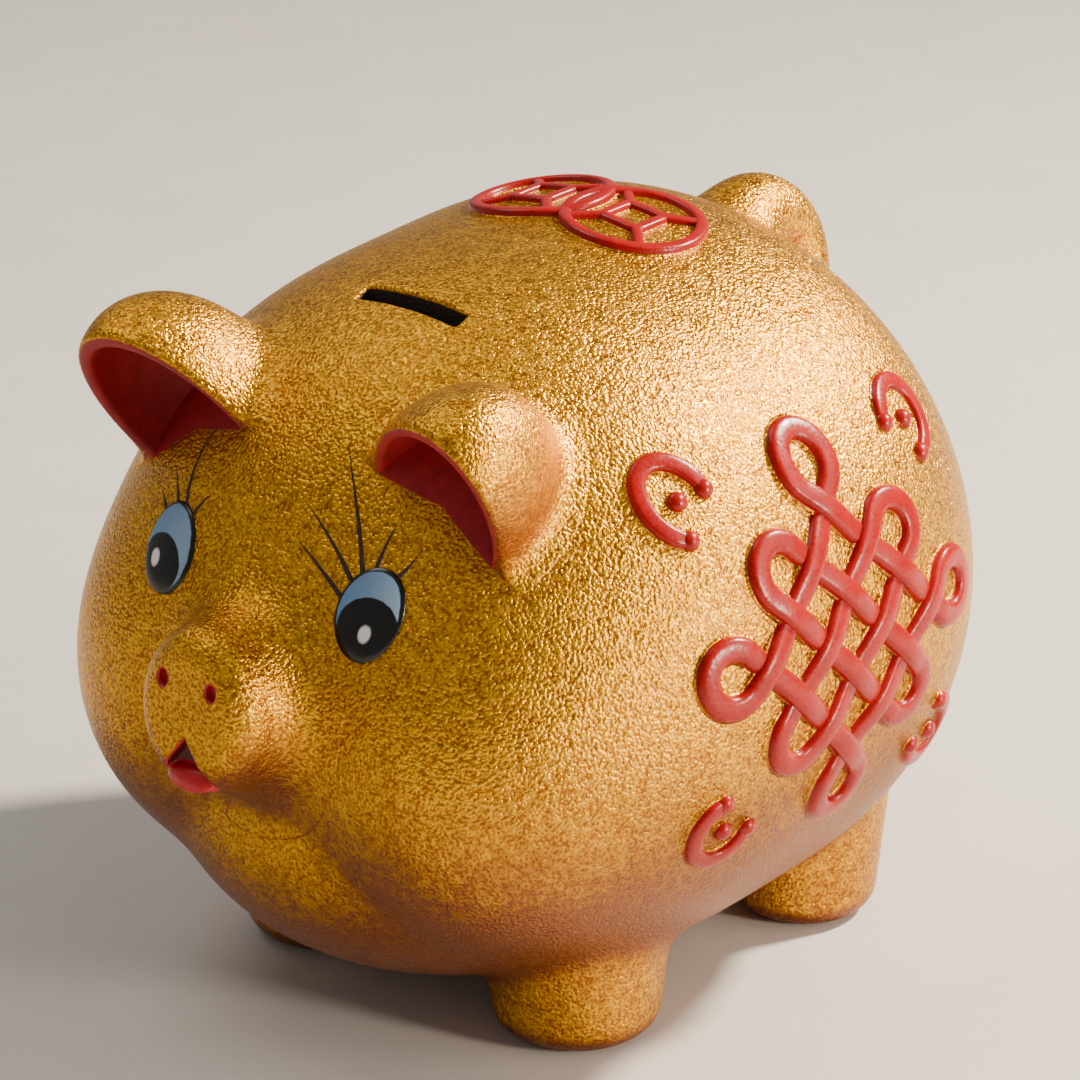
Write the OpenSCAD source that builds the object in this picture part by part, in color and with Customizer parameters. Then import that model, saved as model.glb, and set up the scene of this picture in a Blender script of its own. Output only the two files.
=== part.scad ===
// Piggy bank: a hollow ceramic pig that faces -Y and stands on z = 0, with a coin slot
// across its back and a soft stopper in its belly. The body is slip cast. The snout,
// ears, tail and feet are luted to it, and the ornaments and eyes are raised on it.

/* [Body] */
// Width of the body across the flanks
body_w = 198; // [160:1:240]
// Length of the body from chest to rump
body_l = 209; // [170:1:255]
// Height of the body from belly to back
body_h = 186; // [150:1:225]
// Gap between the table and the belly
belly_gap = 5; // [4.5:0.5:10]
// Thickness of the cast wall
wall_t = 5; // [4:0.5:7]

/* [Coin slot] */
// Length of the slot, across the back
slot_l = 32; // [27:0.5:40]
// Width of the slot
slot_w = 5; // [4.6:0.1:7]

/* [Stopper] */
// Diameter of the hole in the belly
bore_d = 32; // [24:0.5:38]
// Length of the hole, from its seat to the top of its collar
bore_l = 8; // [6:0.5:14]
// Width of the seat around the hole
seat_w = 4; // [3:0.5:5]
// Height of the seat above the lowest point of the belly
seat_h = 3.5; // [3:0.25:5]
// Thickness of the collar around the hole
collar_t = 5; // [4:0.5:8]
// Thickness of the stopper's flange
flange_t = 2.2; // [1.6:0.1:3]
// Wall of the hollow plug
plug_t = 3; // [2:0.25:4]
// Length of the plug's tapered nose
nose_l = 4; // [3:0.5:6]
// Radial clearance between the plug and the hole
plug_gap = 0.05; // [0.02:0.01:0.1]
// Radial clearance between the flange and its recess
flange_gap = 0.6; // [0.4:0.1:1]
// Length of the finger grip under the flange
grip_l = 20; // [12:1:26]
// Thickness of the finger grip
grip_t = 3; // [2:0.5:5]
// Height of the finger grip
grip_h = 1.6; // [1:0.1:2]

/* [Snout] */
// Width of the snout's end
snout_w = 38; // [30:1:46]
// Height of the snout's end
snout_h = 43; // [34:1:50]
// Distance from the snout's root point to its end
snout_l = 16; // [12:0.5:22]
// Rounding of the snout's rim
snout_round = 7; // [4:0.5:9]
// Upward tilt of the snout, in degrees
snout_tilt = 6; // [0:1:12]
// Distance between the nostrils
nostril_gap = 15; // [11:0.5:18]
// Diameter of a nostril
nostril_d = 5; // [3:0.5:7]
// Width of the mouth
mouth_w = 15; // [10:0.5:20]
// Height of the mouth
mouth_h = 7; // [5:0.5:9]

/* [Ears] */
// Width of an ear
ear_w = 41; // [32:1:50]
// Height of an ear above and below its middle
ear_h = 63; // [50:1:76]
// Depth of an ear, front to back
ear_d = 52; // [40:1:64]
// Thickness of the ear's rim
ear_t = 3; // [2.5:0.25:5]
// Forward tilt of an ear, in degrees
ear_pitch = 27; // [15:1:40]
// Outward lean of an ear, in degrees
ear_lean = 36; // [20:1:50]
// Inward turn of an ear, in degrees
ear_yaw = 10; // [0:1:20]

/* [Tail] */
// Thickness of the tail at its root
tail_d = 24; // [18:1:30]
// Thickness of the tail at its tip
tail_tip_d = 13; // [8:1:16]
// Radius of the tail's curl
tail_r = 12; // [9:0.5:16]
// How far the tip turns to the side
tail_turn = 9; // [0:1:14]

/* [Feet] */
// Diameter of a front foot
front_foot_d = 43; // [34:1:50]
// Diameter of a rear foot
rear_foot_d = 39; // [32:1:48]
// Rounding of the foot's lower edge
foot_round = 7; // [4:0.5:9]
// How much the foot widens towards the body
foot_flare = 4; // [0:0.5:7]

/* [Ornaments and eyes] */
// How far an ornament stands out of the body
relief_t = 2.4; // [1.5:0.1:3.5]
// How far an ornament is bedded into the clay
bed_t = 0.3; // [0.3:0.05:0.5]
// Width of the knot's bands
band_w = 6.2; // [4.5:0.1:7]
// Distance between the knot's bands
band_pitch = 14; // [12:0.5:15]
// Radius of the scrolls around the knot
scroll_r = 8; // [6.5:0.5:9]
// Diameter of a ring on the back
ring_d = 37; // [30:1:42]
// Width of the ring's rim
ring_w = 4; // [3:0.25:5]
// Width of an eye
eye_w = 17.5; // [14:0.5:22]
// Height of an eye
eye_h = 20.5; // [16:0.5:25]
// How far the enamel of an eye stands out
eye_t = 0.8; // [0.5:0.1:1.5]

/* [Hidden] */

gold = "goldenrod";
red = "crimson";
enamel = "slategray";

// The lobes below are given for a body of this size, with z = 0 at its lowest point.
lobe_size = [198, 209, 186];
grow = [body_w / lobe_size.x, body_l / lobe_size.y, body_h / lobe_size.z];
function scaled(v) = [v.x * grow.x, v.y * grow.y, v.z * grow.z];

// Puts the bank's middle, from the end of the snout to the back of the tail, over the
// origin. The roots of the snout and the tail are given in the lobes' own frame.
snout_root_y = -110;
tail_root_y = 84;
tail_thin = 0.32;
nose_end = snout_root_y * grow.y - snout_l;
tail_end_y = tail_root_y * grow.y + tail_r + tail_thin * tail_d;
function place(v) = scaled(v) + [0, -(nose_end + tail_end_y) / 2, belly_gap];

// Each lobe is an ellipsoid: its centre and its half axes. The cheek is mirrored in x.
rump_at = place([0, 34, 95]);
rump_r = scaled([96, 69, 88]);
head_at = place([0, -25, 91]);
head_r = scaled([96, 80, 89]);
cheek_at = place([41, -61, 80]);
cheek_r = scaled([40, 44, 47]);
chest_at = place([0, -40, 54]);
chest_r = scaled([69, 64, 47]);
core = place([0, 0, 90]);

// How softly each lobe runs into the rest. The chest keeps a crease under the cheeks.
head_blend = 60;
cheek_blend = 30;
chest_blend = 5;

// Facets of the body: around it, and from belly to back.
around = 56;
up = 28;

// Distance from p to an ellipsoid, close to its surface.
function lobe(p, at, r) =
    let (
        q = p - at,
        a = norm([q.x / r.x, q.y / r.y, q.z / r.z]),
        b = norm([q.x / pow(r.x, 2), q.y / pow(r.y, 2), q.z / pow(r.z, 2)])
    )
    a * (a - 1) / max(b, 1e-6);

// Smooth union of two distances.
function blend(a, b, k) =
    let (h = max(k - abs(a - b), 0) / k)
    min(a, b) - pow(h, 3) * k / 6;

// Distance from p to the outside of the body.
function body_dist(p) =
    let (
        q = [abs(p.x), p.y, p.z],
        trunk = blend(lobe(q, rump_at, rump_r), lobe(q, head_at, head_r), head_blend),
        cheeks = blend(trunk, lobe(q, cheek_at, cheek_r), cheek_blend)
    )
    blend(cheeks, lobe(q, chest_at, chest_r), chest_blend);

// Moves p along the unit vector out until it lies off away from the body.
steps = 14;
function settle(p, out, off, n = steps) =
    n == 0 ? p : settle(p - out * (body_dist(p) - off), out, off, n - 1);

// Point off the body's surface, seen from the core at turn a and height angle e.
far = 130;
function skin_point(a, e, off) =
    let (d = [cos(e) * cos(a), cos(e) * sin(a), sin(e)])
    settle(core + far * d, d, off);

// Triangles that join rings of n points each, with a point before and one after them.
function ring_faces(rings, n) = concat(
    [for (j = [0:n - 1]) [0, 1 + j, 1 + (j + 1) % n]],
    [for (i = [0:rings - 2], j = [0:n - 1])
        let (a = 1 + i * n, b = a + n, k = (j + 1) % n)
        each [[a + j, b + j, b + k], [a + j, b + k, a + k]]],
    let (a = 1 + (rings - 1) * n, z = 1 + rings * n)
    [for (j = [0:n - 1]) [a + j, z, a + (j + 1) % n]]
);

// Closed skin of the body, off outside its surface, or inside it where off is negative.
module body_skin(off, n = around, m = up) {
    polyhedron(
        points = concat(
            [skin_point(0, -90, off)],
            [for (i = [1:m - 1], j = [0:n - 1]) skin_point(360 * j / n, 180 * i / m - 90, off)],
            [skin_point(0, 90, off)]
        ),
        faces = ring_faces(m - 1, n)
    );
}

module body_solid() body_skin(0);

// Cuts the body away from a piece that is luted to it, which is drawn for the left side.
module luted(side = 1) {
    difference() {
        mirror([side < 0 ? 1 : 0, 0, 0])
            children();
        body_solid();
    }
}

// Closed loft through rings of n points, from the point first to the point last.
module loft(rings, first, last, n) {
    polyhedron(
        points = concat([first], [for (r = rings) each r], [last]),
        faces = ring_faces(len(rings), n)
    );
}

// Ellipsoid with half axes r.
module egg(r, n = 28, m = 14) {
    loft(
        [for (i = [1:m - 1])
            let (e = 180 * i / m - 90)
            [for (j = [0:n - 1])
                let (a = 360 * j / n)
                [r.x * cos(e) * cos(a), r.y * cos(e) * sin(a), r.z * sin(e)]]],
        [0, 0, -r.z], [0, 0, r.z], n
    );
}

// ---- body -----------------------------------------------------------------------

slot_at = place([0, -46.5, 176]);
slot_reach = 22;
bore_at = place([0, 10, 0]);
bore_r = bore_d / 2;
seat_z = belly_gap + seat_h;
collar_top = seat_z + bore_l;
seat_r = bore_r + seat_w;
over = 1;

module stopper_hole() {
    translate([bore_at.x, bore_at.y, 0]) {
        cylinder(h = seat_z, r = seat_r + flange_gap, $fn = 72);
        cylinder(h = collar_top + over, r = bore_r, $fn = 72);
    }
}

module collar() {
    translate([bore_at.x, bore_at.y, 0])
        cylinder(h = collar_top, r = bore_r + collar_t, $fn = 72);
}

module coin_slot() {
    translate(slot_at)
        cube([slot_l, slot_w, 2 * slot_reach], center = true);
}

module cavity() {
    difference() {
        body_skin(-wall_t, 44, 22);
        collar();
    }
}

module body_shell() {
    color(gold)
        difference() {
            body_solid();
            cavity();
            coin_slot();
            stopper_hole();
        }
}

// ---- stopper --------------------------------------------------------------------

plug_r = bore_r - plug_gap;
flange_z = seat_z - flange_t;
plug_top = collar_top + nose_l;

module stopper() {
    color("dimgray")
        translate([bore_at.x, bore_at.y, 0]) {
            difference() {
                union() {
                    translate([0, 0, flange_z])
                        cylinder(h = flange_t, r = seat_r, $fn = 72);
                    translate([0, 0, seat_z - over])
                        cylinder(h = bore_l + over, r = plug_r, $fn = 72);
                    translate([0, 0, collar_top])
                        cylinder(h = nose_l, r1 = plug_r, r2 = plug_r - nose_l / 2, $fn = 72);
                }
                translate([0, 0, seat_z])
                    cylinder(h = plug_top, r = plug_r - plug_t - nose_l / 2, $fn = 72);
            }
            translate([-grip_l / 2, -grip_t / 2, flange_z - grip_h])
                cube([grip_l, grip_t, grip_h]);
        }
}

// ---- snout ----------------------------------------------------------------------

snout_at = place([0, snout_root_y, 95]);
snout_sides = 32;
snout_root = 14;
snout_flare = 0.14;
snout_arc = 4;

// Ring of the snout at y, where its rim has been rounded off by cut.
function snout_ring(y, cut) =
    [for (j = [0:snout_sides - 1])
        let (
            a = 360 * j / snout_sides,
            rx = snout_w / 2 + snout_flare * y - cut,
            rz = snout_h / 2 + snout_flare * y - cut
        )
        [rx * cos(a), y, rz * sin(a)]];

module snout_form() {
    rim_y = snout_round - snout_l;
    loft(
        concat(
            [for (y = [snout_root, 0]) snout_ring(y, 0)],
            [for (i = [0:snout_arc])
                let (a = 90 * i / snout_arc)
                snout_ring(rim_y - snout_round * sin(a), snout_round * (1 - cos(a)))]
        ),
        [0, snout_root, 0], [0, -snout_l, 0], snout_sides
    );
}

nostril_up = 9;
mouth_down = 16;
mouth_sink = 2;

module nostril(side) {
    translate([side * nostril_gap / 2, -snout_l - nostril_d / 4, nostril_up])
        sphere(d = nostril_d * 1.15);
}

module mouth() {
    translate([0, -snout_l + mouth_sink, -mouth_down])
        rotate([0, 90, 0]) {
            cylinder(h = mouth_w - mouth_h, d = mouth_h, center = true, $fn = 48);
            for (side = [-1, 1])
                translate([0, 0, side * (mouth_w - mouth_h) / 2])
                    sphere(d = mouth_h);
        }
}

module snout() {
    color(gold)
        luted()
            translate(snout_at)
                rotate([-snout_tilt, 0, 0])
                    difference() {
                        snout_form();
                        nostril(1);
                        nostril(-1);
                        mouth();
                    }
}

// ---- ears -----------------------------------------------------------------------

ear_at = place([42, -84, 145.6]);
ear_back = 6;
ear_open = 6;
ear_r = [ear_w / 2, ear_h / 2, ear_d / 2];

// The ear's own frame: x along its base, y up to its tip, z out of its mouth.
module ear_frame() {
    translate(ear_at)
        rotate([90 + ear_pitch, 0, -ear_yaw])
            rotate([0, 0, -ear_lean])
                children();
}

module ear_form() {
    ear_frame()
        difference() {
            translate([-1, 0, -ear_back])
                egg(ear_r);
            translate([-1, -2, ear_open - ear_back])
                egg([ear_r.x - ear_t, ear_r.y - ear_t, ear_r.z - ear_t]);
            translate([-ear_w, -ear_h, 0])
                cube([2 * ear_w, 2 * ear_h, ear_d]);
        }
}

module ear_left() color(gold) luted() ear_form();
module ear_right() color(gold) luted(-1) ear_form();

// ---- tail -----------------------------------------------------------------------

tail_at = place([0, tail_root_y, 155]);
tail_sides = 16;
tail_rings = 10;
tail_start = 125;
tail_end = -30;

// Ring t of the tail, which runs from 0 at the root to 1 at the tip.
function tail_ring(t, r) =
    let (
        a = tail_start + (tail_end - tail_start) * t,
        mid = tail_at + [tail_turn * t * t, tail_r * cos(a), tail_r * sin(a)]
    )
    [for (j = [0:tail_sides - 1])
        let (b = 360 * j / tail_sides)
        mid + [r * cos(b), r * sin(b) * cos(a), r * sin(b) * sin(a)]];

function tail_radius(t) = (tail_d + (tail_tip_d - tail_d) * t) / 2;

module tail_form() {
    tip = tail_tip_d / 2;
    tip_step = 8;
    loft(
        concat(
            [for (i = [0:tail_rings]) tail_ring(i / tail_rings, tail_radius(i / tail_rings))],
            [tail_ring(1 + 1 / tip_step, tip * 0.8), tail_ring(1 + 1.6 / tip_step, tip * 0.45)]
        ),
        tail_at + [0, tail_r * cos(tail_start), tail_r * sin(tail_start)],
        tail_at + [
            tail_turn * 1.5,
            tail_r * cos(tail_end - 30),
            tail_r * sin(tail_end - 30)
        ],
        tail_sides
    );
}

module tail() {
    color(gold)
        luted()
            tail_form();
}

// ---- feet -----------------------------------------------------------------------

front_foot_at = place([42, -35, 0]);
rear_foot_at = place([43, 55, 0]);
foot_top = 62;
foot_waist = 26;
foot_arc = 6;

module foot_form(at, d) {
    r = d / 2;
    translate([at.x, at.y, 0])
        rotate_extrude($fn = 72)
            polygon(concat(
                [[0, 0]],
                [for (i = [0:foot_arc])
                    let (a = 90 * i / foot_arc)
                    [r - foot_round * (1 - sin(a)), foot_round * (1 - cos(a))]],
                [[r + foot_flare, foot_waist], [r + foot_flare, foot_top], [0, foot_top]]
            ));
}

module foot_front_left() color(gold) luted() foot_form(front_foot_at, front_foot_d);
module foot_front_right() color(gold) luted(-1) foot_form(front_foot_at, front_foot_d);
module foot_rear_left() color(gold) luted() foot_form(rear_foot_at, rear_foot_d);
module foot_rear_right() color(gold) luted(-1) foot_form(rear_foot_at, rear_foot_d);

// ---- ornaments and eyes ---------------------------------------------------------

// Slab of clay that follows the body over a window w wide and h high about mid. Its
// sides run along a and b, out is the way it faces, and it stands t proud.
module slab(mid, a, b, out, w, h, t, n = 14, m = 14) {
    function at(i, j, off) =
        settle(mid + a * w * (i / n - 0.5) + b * h * (j / m - 0.5) + out * far, out, off);
    row = n + 1;
    top = row * (m + 1);
    polyhedron(
        points = concat(
            [for (j = [0:m], i = [0:n]) at(i, j, -bed_t)],
            [for (j = [0:m], i = [0:n]) at(i, j, t)]
        ),
        faces = concat(
            [for (j = [0:m - 1], i = [0:n - 1])
                let (p = j * row + i)
                each [[p, p + 1, p + row + 1], [p, p + row + 1, p + row]]],
            [for (j = [0:m - 1], i = [0:n - 1])
                let (p = top + j * row + i)
                each [[p, p + row + 1, p + 1], [p, p + row, p + row + 1]]],
            [for (i = [0:n - 1]) each [[i, top + i, top + i + 1], [i, top + i + 1, i + 1]]],
            [for (i = [0:n - 1])
                let (p = m * row + i)
                each [[p, p + 1, top + p + 1], [p, top + p + 1, top + p]]],
            [for (j = [0:m - 1])
                let (p = j * row)
                each [[p, p + row, top + p + row], [p, top + p + row, top + p]]],
            [for (j = [0:m - 1])
                let (p = j * row + n)
                each [[p, top + p, top + p + row], [p, top + p + row, p + row]]]
        )
    );
}

// Arc of a band w wide, from angle a to angle b about the origin.
module bend(r, a, b, w = band_w, n = 12) {
    function arc(q) = [for (i = [0:n]) let (t = a + (b - a) * i / n) q * [cos(t), sin(t)]];
    outer = arc(r + w / 2);
    inner = arc(r - w / 2);
    polygon(concat(outer, [for (i = [n:-1:0]) inner[i]]));
}

bands = 4;
knot_half = band_pitch * (bands - 1) / 2;
knot_edge = knot_half + band_pitch / 2;
function band_pos(i) = band_pitch * i - knot_half;

// Endless knot: bands that cross, joined in pairs by loops along each side and by a
// larger loop at each corner.
module knot_outline() {
    for (turn = [0, 90])
        rotate(turn)
            for (i = [0:bands - 1])
                translate([band_pos(i) - band_w / 2, -knot_edge])
                    square([band_w, 2 * knot_edge]);
    for (turn = [0:90:270])
        rotate(turn) {
            for (i = [1:2:bands - 3])
                translate([(band_pos(i) + band_pos(i + 1)) / 2, knot_edge])
                    bend(band_pitch / 2, 0, 180);
            translate([knot_edge, knot_edge])
                bend(band_pitch / 2, -90, 180, n = 18);
        }
}

// Cloud scroll: a curl that is open towards the knot, with a bead in its middle.
scroll_w = 4.6;
scroll_mouth = 55;
bead_r = 2.6;

module scroll() {
    bend(scroll_r, scroll_mouth, 360 - scroll_mouth, scroll_w, 18);
    for (side = [-1, 1])
        rotate(side * scroll_mouth)
            translate([scroll_r, 0])
                circle(r = scroll_w / 2 + 0.6, $fn = 12);
    circle(r = bead_r, $fn = 12);
}

// The knot stands on its corner, and a scroll fills each corner of the square around it.
knot_reach = sqrt(2) * knot_edge + (band_pitch + band_w) / 2;
scroll_at = knot_reach - scroll_r - scroll_w / 2;

module ornament_outline() {
    rotate(45)
        knot_outline();
    for (turn = [0:90:270])
        rotate(turn)
            translate([-scroll_at, -scroll_at])
                rotate(45)
                    scroll();
}

knot_at = place([0, -1, 104]);
knot_span = 2 * knot_reach + 2 * over;

module knot() {
    intersection() {
        translate([0, knot_at.y, knot_at.z])
            rotate([90, 0, 90])
                linear_extrude(height = far)
                    ornament_outline();
        slab(knot_at, [0, 1, 0], [0, 0, 1], [1, 0, 0], knot_span, knot_span, relief_t);
    }
}

module knot_left() color(red) knot();
module knot_right() color(red) mirror([1, 0, 0]) knot();

// One ring with a square eye, its frame held by four spokes.
ring_eye = 8;
ring_bar = 3;

module ring_outline() {
    difference() {
        circle(d = ring_d, $fn = 72);
        circle(d = ring_d - 2 * ring_w, $fn = 72);
    }
    for (turn = [45:90:315])
        rotate(turn)
            translate([ring_eye / 2, -ring_bar / 2])
                square([ring_d / 2 - ring_eye / 2 - ring_w / 2, ring_bar]);
    difference() {
        square(ring_eye + 2 * ring_bar, center = true);
        square(ring_eye, center = true);
    }
}

rings_at = place([0, 18, 184]);
ring_step = ring_d * 0.39;

module linked_rings() {
    color(red)
        intersection() {
            translate([rings_at.x, rings_at.y, 0])
                linear_extrude(height = 2 * far)
                    for (side = [-1, 1])
                        translate([side * ring_step, 0])
                            ring_outline();
            slab(
                [rings_at.x, rings_at.y, core.z], [1, 0, 0], [0, 1, 0], [0, 0, 1],
                ring_d + 2 * ring_step + 2 * over, ring_d + 2 * over, relief_t, 10, 6
            );
        }
}

eye_at = place([32, -100, 121]);
eye_sides = 36;

module eye() {
    intersection() {
        translate([eye_at.x, 0, eye_at.z])
            rotate([90, 0, 0])
                linear_extrude(height = 2 * far)
                    polygon([for (j = [0:eye_sides - 1])
                        let (a = 360 * j / eye_sides)
                        [eye_w / 2 * cos(a), eye_h / 2 * sin(a)]]);
        slab(
            [eye_at.x, 0, eye_at.z], [-1, 0, 0], [0, 0, 1], [0, -1, 0],
            eye_w + 2 * over, eye_h + 2 * over, eye_t, 6, 6
        );
    }
}

module eye_left() color(enamel) eye();
module eye_right() color(enamel) mirror([1, 0, 0]) eye();

body_shell();
snout();
ear_left();
ear_right();
tail();
foot_front_left();
foot_front_right();
foot_rear_left();
foot_rear_right();
knot_left();
knot_right();
linked_rings();
eye_left();
eye_right();
stopper();
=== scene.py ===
import math

import bmesh
import bpy
import numpy as np
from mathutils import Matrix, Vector


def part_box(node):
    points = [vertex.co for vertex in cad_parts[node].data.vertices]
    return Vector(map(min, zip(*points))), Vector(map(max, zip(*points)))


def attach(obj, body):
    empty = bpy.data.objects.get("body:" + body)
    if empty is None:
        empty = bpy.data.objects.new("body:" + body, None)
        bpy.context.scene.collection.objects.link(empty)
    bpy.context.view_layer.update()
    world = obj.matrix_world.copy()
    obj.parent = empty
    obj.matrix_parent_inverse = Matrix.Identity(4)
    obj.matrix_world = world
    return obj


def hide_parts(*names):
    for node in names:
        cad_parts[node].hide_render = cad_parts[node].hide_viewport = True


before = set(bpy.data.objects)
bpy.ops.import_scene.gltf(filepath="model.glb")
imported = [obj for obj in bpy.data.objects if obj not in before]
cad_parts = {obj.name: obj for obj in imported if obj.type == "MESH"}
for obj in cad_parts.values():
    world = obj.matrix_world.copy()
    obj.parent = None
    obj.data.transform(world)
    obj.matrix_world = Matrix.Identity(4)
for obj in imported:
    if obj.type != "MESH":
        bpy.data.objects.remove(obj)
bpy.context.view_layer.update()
mm = 0.001
print("frame loaded")

# Shapes are worked out in millimetres and turned to metres when a mesh is made.


# colours, nodes and meshes

def fromHex(text):
    parts = [int(text[i:i + 2], 16) / 255 for i in (1, 3, 5)]
    return [p / 12.92 if p <= 0.04045 else ((p + 0.055) / 1.055) ** 2.4 for p in parts] + [1.0]


def addNode(tree, kind, inputs=None, give=0, **settings):
    # Adds a node and gives back one of its outputs. An input is given by its name or number, as a
    # value or as the output that feeds it.
    node = tree.nodes.new(kind)
    for name, value in settings.items():
        setattr(node, name, value)
    for name, value in (inputs or {}).items():
        socket = node.inputs[name]
        if isinstance(value, bpy.types.NodeSocket):
            tree.links.new(value, socket)
        else:
            socket.default_value = value
    return node.outputs[give] if node.outputs else None


def keepNumbers(mesh, values):
    for key, numbers in values.items():
        layer = mesh.attributes.new(key, "FLOAT", "POINT")
        layer.data.foreach_set("value", np.asarray(numbers, dtype=np.float32))


def meshPiece(name, points, faces, material, values=None):
    # A smooth-shaded mesh from points in millimetres. values are numbers kept on its points.
    mesh = bpy.data.meshes.new(name)
    mesh.from_pydata((np.asarray(points) * mm).tolist(), [], [list(map(int, f)) for f in faces])
    mesh.update()
    mesh.polygons.foreach_set("use_smooth", [True] * len(mesh.polygons))
    keepNumbers(mesh, values or {})
    if material:
        mesh.materials.append(material)
    return link(name, mesh)


def link(name, data):
    made = bpy.data.objects.new(name, data)
    bpy.context.scene.collection.objects.link(made)
    return made


def bakeModifiers(piece):
    # The mesh that an object's modifiers make.
    return bpy.data.meshes.new_from_object(piece.evaluated_get(bpy.context.evaluated_depsgraph_get()))


def stack(*parts):
    # Points from their x, y and z, any of which may be one number for all.
    return np.stack(np.broadcast_arrays(*[np.asarray(part, float) for part in parts]), -1)


def declare(piece, body, node=None):
    if node:
        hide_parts(node)
    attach(piece, body)


# fields: the distance to a shape, below zero inside it

def unit(v):
    return v / np.maximum(np.linalg.norm(v, axis=-1, keepdims=True), 1e-12)


def eggField(p, middle, half):
    q = p - np.asarray(middle)
    half = np.asarray(half, float)
    a = np.linalg.norm(q / half, axis=-1)
    b = np.linalg.norm(q / half ** 2, axis=-1)
    return a * (a - 1) / np.maximum(b, 1e-6)


def joinSoft(a, b, soft):
    h = np.maximum(soft - np.abs(a - b), 0) / soft
    return np.minimum(a, b) - h ** 3 * soft / 6


def cutSoft(a, b, soft):
    # What is in a but not in b, with its edge rounded.
    return -joinSoft(-a, b, soft)


def slope(field, p, step=0.05):
    g = np.empty(p.shape)
    for i in range(3):
        d = np.zeros(3)
        d[i] = step
        g[:, i] = (field(p + d) - field(p - d)) / (2 * step)
    return g


def ontoField(field, p, rounds=3):
    for _ in range(rounds):
        g = slope(field, p)
        p = p - g * (field(p) / np.maximum((g * g).sum(-1), 1e-3))[:, None]
    return p


def roundEdge(a, b, rim):
    # The overlap of two shapes that are rim smaller than drawn, grown by rim, which rounds its edge.
    return np.minimum(np.maximum(a, b), 0) + np.hypot(np.maximum(a, 0), np.maximum(b, 0)) - rim


def untangle(value, sliver):
    # Two corners of a grid square that touch only across its diagonal would pinch the surface. One of
    # the corners between them is taken in, just.
    for _ in range(8):
        found = False
        for axis in range(3):
            plane = np.moveaxis(value, axis, 0)
            pairs = [(plane[:, :-1, :-1], plane[:, 1:, 1:]), (plane[:, 1:, :-1], plane[:, :-1, 1:])]
            for (a, b), (c, d) in (pairs, pairs[::-1]):
                crossed = (a < 0) & (b < 0) & (c >= 0) & (d >= 0)
                nearer = np.abs(c) <= np.abs(d)
                c[crossed & nearer] = -sliver
                d[crossed & ~nearer] = -sliver
                found |= crossed.any()
        if not found:
            return


def fieldMesh(field, low, high, step):
    # Quads along a field's surface: one point in each cell that it crosses, at the middle of its
    # crossings and then moved onto it.
    low, count = np.array(low, float), [math.ceil((b - a) / step) + 1 for a, b in zip(low, high)]
    axes = [low[i] + step * np.arange(count[i]) for i in range(3)]
    value = field(np.stack(np.meshgrid(*axes, indexing="ij"), -1))
    untangle(value, step / 100)
    inside = (value < 0).astype(np.int8)
    corners = list(np.ndindex(2, 2, 2))
    total = sum(inside[tuple(slice(a, n - 1 + a) for a, n in zip(corner, count))] for corner in corners)
    crossed = (total > 0) & (total < 8)
    cells = np.argwhere(crossed)
    number = -np.ones(crossed.shape, int)
    number[crossed] = np.arange(len(cells))
    at = {corner: value[tuple((cells + corner).T)] for corner in corners}
    sums, hits = np.zeros((len(cells), 3)), np.zeros(len(cells))
    for corner in corners:
        for axis in range(3):
            if corner[axis]:
                continue
            other = corner[:axis] + (1,) + corner[axis + 1:]
            cuts = (at[corner] < 0) != (at[other] < 0)
            part = np.where(cuts, at[corner] / (at[corner] - at[other] + 1e-30), 0)
            sums += (corner + part[:, None] * np.eye(3)[axis]) * cuts[:, None]
            hits += cuts
    faces = []
    for axis in range(3):
        sides = [i for i in range(3) if i != axis]
        change = np.diff(inside, axis=axis)
        edge = np.argwhere(change)
        edge = edge[np.all([(edge[:, i] > 0) & (edge[:, i] < count[i] - 1) for i in sides], axis=0)]
        ring = []
        for move in ((-1, -1), (0, -1), (0, 0), (-1, 0)):
            cell = edge.copy()
            cell[:, sides] += move
            ring.append(number[tuple(cell.T)])
        quad = np.stack(ring, 1)
        forward = (change[tuple(edge.T)] < 0) != (axis == 1)
        faces.append(np.where(forward[:, None], quad, quad[:, ::-1]))
    return ontoField(field, (cells + sums / hits[:, None]) * step + low), np.concatenate(faces)


# the pig's form

pig = {
    # The box of the body that the sizes below are drawn for, in its own frame.
    "low": (-99.5, -107.2, 4.9),
    "high": (99.5, 102.9, 191.1),
    # Middle, half axes and softness of the join to the lobes before it. The cheek is mirrored.
    "lobes": [
        ((0, 34, 100), (96, 69, 88), 0),      # rump
        ((0, -25, 96), (96, 80, 89), 60),     # head
        ((41, -61, 85), (40, 44, 47), 30),    # cheek
        ((0, -40, 59), (69, 64, 47), 5),      # chest
    ],
    "core": (0, 0, 95),
    "wall": 5,
    "clear": 130,     # farther than any skin from the core
    "sunk": 0.01,     # how far a luted piece's join is started under the body's skin
    "reach": 0.68,    # share of its soft join that a luted piece keeps
    "bed": 1.7,       # how deep a luted piece sits in the body
}


def boxMm(node):
    low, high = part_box(node)
    return np.array(low) / mm, np.array(high) / mm


def middleOf(node):
    return sum(boxMm(node)) / 2


bodyLow, bodyHigh = boxMm("body_shell")
drawnLow, drawnHigh = np.array(pig["low"]), np.array(pig["high"])
grow = (bodyHigh - bodyLow) / (drawnHigh - drawnLow)


def place(v):
    return bodyLow + (np.asarray(v, float) - drawnLow) * grow


core = place(pig["core"])


def bodyField(p):
    q = p.copy()
    q[..., 0] = np.abs(q[..., 0])
    shape = None
    for middle, half, soft in pig["lobes"]:
        egg = eggField(q, place(middle), half * grow)
        shape = egg if shape is None else joinSoft(shape, egg, soft)
    return shape


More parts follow.
